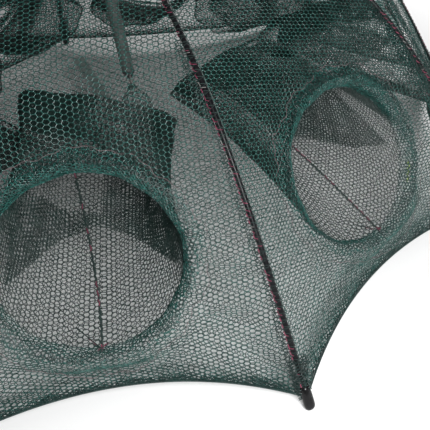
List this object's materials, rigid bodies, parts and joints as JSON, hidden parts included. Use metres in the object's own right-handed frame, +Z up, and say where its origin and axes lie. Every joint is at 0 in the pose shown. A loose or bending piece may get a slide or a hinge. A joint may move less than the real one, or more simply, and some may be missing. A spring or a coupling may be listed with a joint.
{
  "type": "folding crab trap",
  "caption": "Umbrella-type folding crab trap: bowed ribs hinged on a crown carry green net panels, each with a round funnel entrance, over a netted floor.",
  "frame": {"origin": "centre of the trap on the ground", "axes": "+Z up; rib_1 points along -Y, and the ribs are numbered counter-clockwise seen from above"},
  "size_m": [0.9166, 0.9166, 0.404],
  "materials": {
    "netting": "knotless polyethylene netting, dark green",
    "funnel_netting": "knotless polyethylene netting, dark green",
    "hem": "doubled netting, dark teal green",
    "bait_netting": "fine netting, dark green",
    "zip_tape": "woven tape",
    "thread": "red and white sewing thread",
    "coated_rod": "black, satin gloss",
    "rubber": "black, glossy",
    "plastic": "black, moulded",
    "steel": "stainless, dull"
  },
  "bodies": {
    "bottom": {"bottom_patch": "hem"},
    "hub": {"crown": "plastic", "crown_wire": "steel", "hub_cap": "plastic", "pole": "coated_rod", "pole_end": "plastic"},
    "runner": {"runner": "plastic"},
    "haul_ring": {"haul_ring": "steel"},
    "bait_bag": {"bait_bag": "bait_netting"},
    "zip_slider": {"zip_slider": "steel"},
    "zip_pull": {"zip_pull": "steel"},
    "rib_1": {"rib_1": "coated_rod", "tip_cap_1": "rubber", "side_net_1": "netting", "funnel_1": "funnel_netting"},
    "strut_1": {"strut_1": "steel"},
    "gore_1": {"bottom_gore_1": "netting"},
    "rib_2": {"rib_2": "coated_rod", "tip_cap_2": "rubber", "side_net_2": "netting", "funnel_2": "funnel_netting"},
    "strut_2": {"strut_2": "steel"},
    "gore_2": {"bottom_gore_2": "netting"},
    "rib_3": {"rib_3": "coated_rod", "tip_cap_3": "rubber", "side_net_3": "netting", "funnel_3": "funnel_netting"},
    "strut_3": {"strut_3": "steel"},
    "gore_3": {"bottom_gore_3": "netting"},
    "rib_4": {"rib_4": "coated_rod", "tip_cap_4": "rubber", "side_net_4": "netting", "funnel_4": "funnel_netting"},
    "strut_4": {"strut_4": "steel"},
    "gore_4": {"bottom_gore_4": "netting"},
    "rib_5": {"rib_5": "coated_rod", "tip_cap_5": "rubber", "side_net_5": "netting", "funnel_5": "funnel_netting"},
    "strut_5": {"strut_5": "steel"},
    "gore_5": {"bottom_gore_5": "netting", "zip_tape": "zip_tape"},
    "rib_6": {"rib_6": "coated_rod", "tip_cap_6": "rubber", "side_net_6": "netting", "funnel_6": "funnel_netting"},
    "strut_6": {"strut_6": "steel"},
    "gore_6": {"bottom_gore_6": "netting"},
    "rib_7": {"rib_7": "coated_rod", "tip_cap_7": "rubber", "side_net_7": "netting", "funnel_7": "funnel_netting"},
    "strut_7": {"strut_7": "steel"},
    "gore_7": {"bottom_gore_7": "netting"},
    "rib_8": {"rib_8": "coated_rod", "tip_cap_8": "rubber", "side_net_8": "netting", "funnel_8": "funnel_netting"},
    "strut_8": {"strut_8": "steel"},
    "gore_8": {"bottom_gore_8": "netting"}
  },
  "joints": [
    {"name": "fold", "type": "slide", "parent": "bottom", "child": "hub", "axis": [0, 0, 1], "range_m": [0, 0.1993]},
    {"name": "runner_slide", "type": "slide", "parent": "hub", "child": "runner", "axis": [0, 0, -1], "range_m": [0, 0.14886]},
    {"name": "rib_hinge_1", "type": "hinge", "parent": "hub", "child": "rib_1", "pos_m": [0, -0.0225, 0.36975], "axis": [1, 0, 0], "range_deg": [0, 48.01], "deforming": ["side_net_1", "funnel_1"]},
    {"name": "strut_hinge_1", "type": "hinge", "parent": "rib_1", "child": "strut_1", "pos_m": [0, -0.13132, 0.35026], "axis": [1, 0, 0], "range_deg": [-96.01, 0]},
    {"name": "gore_hinge_1", "type": "hinge", "parent": "rib_1", "child": "gore_1", "pos_m": [0, -0.45, 0.012], "axis": [1, 0, 0], "range_deg": [0, 42.01], "deforming": ["bottom_gore_1"]},
    {"name": "rib_hinge_2", "type": "hinge", "parent": "hub", "child": "rib_2", "pos_m": [0.01591, -0.01591, 0.36975], "axis": [0.7071, 0.7071, 0], "range_deg": [0, 48.01], "deforming": ["side_net_2", "funnel_2"]},
    {"name": "strut_hinge_2", "type": "hinge", "parent": "rib_2", "child": "strut_2", "pos_m": [0.09286, -0.09286, 0.35026], "axis": [0.7071, 0.7071, 0], "range_deg": [-96.01, 0]},
    {"name": "gore_hinge_2", "type": "hinge", "parent": "rib_2", "child": "gore_2", "pos_m": [0.3182, -0.3182, 0.012], "axis": [0.7071, 0.7071, 0], "range_deg": [0, 42.01], "deforming": ["bottom_gore_2"]},
    {"name": "rib_hinge_3", "type": "hinge", "parent": "hub", "child": "rib_3", "pos_m": [0.0225, 0, 0.36975], "axis": [0, 1, 0], "range_deg": [0, 48.01], "deforming": ["side_net_3", "funnel_3"]},
    {"name": "strut_hinge_3", "type": "hinge", "parent": "rib_3", "child": "strut_3", "pos_m": [0.13132, 0, 0.35026], "axis": [0, 1, 0], "range_deg": [-96.01, 0]},
    {"name": "gore_hinge_3", "type": "hinge", "parent": "rib_3", "child": "gore_3", "pos_m": [0.45, 0, 0.012], "axis": [0, 1, 0], "range_deg": [0, 42.01], "deforming": ["bottom_gore_3"]},
    {"name": "rib_hinge_4", "type": "hinge", "parent": "hub", "child": "rib_4", "pos_m": [0.01591, 0.01591, 0.36975], "axis": [-0.7071, 0.7071, 0], "range_deg": [0, 48.01], "deforming": ["side_net_4", "funnel_4"]},
    {"name": "strut_hinge_4", "type": "hinge", "parent": "rib_4", "child": "strut_4", "pos_m": [0.09286, 0.09286, 0.35026], "axis": [-0.7071, 0.7071, 0], "range_deg": [-96.01, 0]},
    {"name": "gore_hinge_4", "type": "hinge", "parent": "rib_4", "child": "gore_4", "pos_m": [0.3182, 0.3182, 0.012], "axis": [-0.7071, 0.7071, 0], "range_deg": [0, 42.01], "deforming": ["bottom_gore_4"]},
    {"name": "rib_hinge_5", "type": "hinge", "parent": "hub", "child": "rib_5", "pos_m": [0, 0.0225, 0.36975], "axis": [-1, 0, 0], "range_deg": [0, 48.01], "deforming": ["side_net_5", "funnel_5"]},
    {"name": "strut_hinge_5", "type": "hinge", "parent": "rib_5", "child": "strut_5", "pos_m": [0, 0.13132, 0.35026], "axis": [-1, 0, 0], "range_deg": [-96.01, 0]},
    {"name": "gore_hinge_5", "type": "hinge", "parent": "rib_5", "child": "gore_5", "pos_m": [0, 0.45, 0.012], "axis": [-1, 0, 0], "range_deg": [0, 42.01], "deforming": ["bottom_gore_5"]},
    {"name": "rib_hinge_6", "type": "hinge", "parent": "hub", "child": "rib_6", "pos_m": [-0.01591, 0.01591, 0.36975], "axis": [-0.7071, -0.7071, 0], "range_deg": [0, 48.01], "deforming": ["side_net_6", "funnel_6"]},
    {"name": "strut_hinge_6", "type": "hinge", "parent": "rib_6", "child": "strut_6", "pos_m": [-0.09286, 0.09286, 0.35026], "axis": [-0.7071, -0.7071, 0], "range_deg": [-96.01, 0]},
    {"name": "gore_hinge_6", "type": "hinge", "parent": "rib_6", "child": "gore_6", "pos_m": [-0.3182, 0.3182, 0.012], "axis": [-0.7071, -0.7071, 0], "range_deg": [0, 42.01], "deforming": ["bottom_gore_6"]},
    {"name": "rib_hinge_7", "type": "hinge", "parent": "hub", "child": "rib_7", "pos_m": [-0.0225, 0, 0.36975], "axis": [0, -1, 0], "range_deg": [0, 48.01], "deforming": ["side_net_7", "funnel_7"]},
    {"name": "strut_hinge_7", "type": "hinge", "parent": "rib_7", "child": "strut_7", "pos_m": [-0.13132, 0, 0.35026], "axis": [0, -1, 0], "range_deg": [-96.01, 0]},
    {"name": "gore_hinge_7", "type": "hinge", "parent": "rib_7", "child": "gore_7", "pos_m": [-0.45, 0, 0.012], "axis": [0, -1, 0], "range_deg": [0, 42.01], "deforming": ["bottom_gore_7"]},
    {"name": "rib_hinge_8", "type": "hinge", "parent": "hub", "child": "rib_8", "pos_m": [-0.01591, -0.01591, 0.36975], "axis": [0.7071, -0.7071, 0], "range_deg": [0, 48.01], "deforming": ["side_net_8", "funnel_8"]},
    {"name": "strut_hinge_8", "type": "hinge", "parent": "rib_8", "child": "strut_8", "pos_m": [-0.09286, -0.09286, 0.35026], "axis": [0.7071, -0.7071, 0], "range_deg": [-96.01, 0]},
    {"name": "gore_hinge_8", "type": "hinge", "parent": "rib_8", "child": "gore_8", "pos_m": [-0.3182, -0.3182, 0.012], "axis": [0.7071, -0.7071, 0], "range_deg": [0, 42.01], "deforming": ["bottom_gore_8"]},
    {"name": "haul_ring_swing", "type": "hinge", "parent": "hub", "child": "haul_ring", "pos_m": [0, 0, 0.39705], "axis": [0, 1, 0], "range_deg": [-170, 0]},
    {"name": "bait_bag_swing", "type": "hinge", "parent": "hub", "child": "bait_bag", "pos_m": [0, 0, 0.14775], "axis": [0, 1, 0], "range_deg": [-30, 30]},
    {"name": "zip_slide", "type": "slide", "parent": "gore_5", "child": "zip_slider", "axis": [0, 1, 0], "range_m": [0, 0.206]},
    {"name": "zip_pull_swing", "type": "hinge", "parent": "zip_slider", "child": "zip_pull", "pos_m": [0, 0.149, 0.0155], "axis": [1, 0, 0], "range_deg": [0, 110]}
  ],
  "couplings": [
    {"joint": "runner_slide", "follows": "fold", "ratio": 0.74684},
    {"joint": "rib_hinge_1", "follows": "fold", "rad_per_m": 4.2035},
    {"joint": "strut_hinge_1", "follows": "fold", "rad_per_m": -8.407},
    {"joint": "gore_hinge_1", "follows": "fold", "rad_per_m": 3.6781},
    {"joint": "rib_hinge_2", "follows": "fold", "rad_per_m": 4.2035},
    {"joint": "strut_hinge_2", "follows": "fold", "rad_per_m": -8.407},
    {"joint": "gore_hinge_2", "follows": "fold", "rad_per_m": 3.6781},
    {"joint": "rib_hinge_3", "follows": "fold", "rad_per_m": 4.2035},
    {"joint": "strut_hinge_3", "follows": "fold", "rad_per_m": -8.407},
    {"joint": "gore_hinge_3", "follows": "fold", "rad_per_m": 3.6781},
    {"joint": "rib_hinge_4", "follows": "fold", "rad_per_m": 4.2035},
    {"joint": "strut_hinge_4", "follows": "fold", "rad_per_m": -8.407},
    {"joint": "gore_hinge_4", "follows": "fold", "rad_per_m": 3.6781},
    {"joint": "rib_hinge_5", "follows": "fold", "rad_per_m": 4.2035},
    {"joint": "strut_hinge_5", "follows": "fold", "rad_per_m": -8.407},
    {"joint": "gore_hinge_5", "follows": "fold", "rad_per_m": 3.6781},
    {"joint": "rib_hinge_6", "follows": "fold", "rad_per_m": 4.2035},
    {"joint": "strut_hinge_6", "follows": "fold", "rad_per_m": -8.407},
    {"joint": "gore_hinge_6", "follows": "fold", "rad_per_m": 3.6781},
    {"joint": "rib_hinge_7", "follows": "fold", "rad_per_m": 4.2035},
    {"joint": "strut_hinge_7", "follows": "fold", "rad_per_m": -8.407},
    {"joint": "gore_hinge_7", "follows": "fold", "rad_per_m": 3.6781},
    {"joint": "rib_hinge_8", "follows": "fold", "rad_per_m": 4.2035},
    {"joint": "strut_hinge_8", "follows": "fold", "rad_per_m": -8.407},
    {"joint": "gore_hinge_8", "follows": "fold", "rad_per_m": 3.6781}
  ]
}
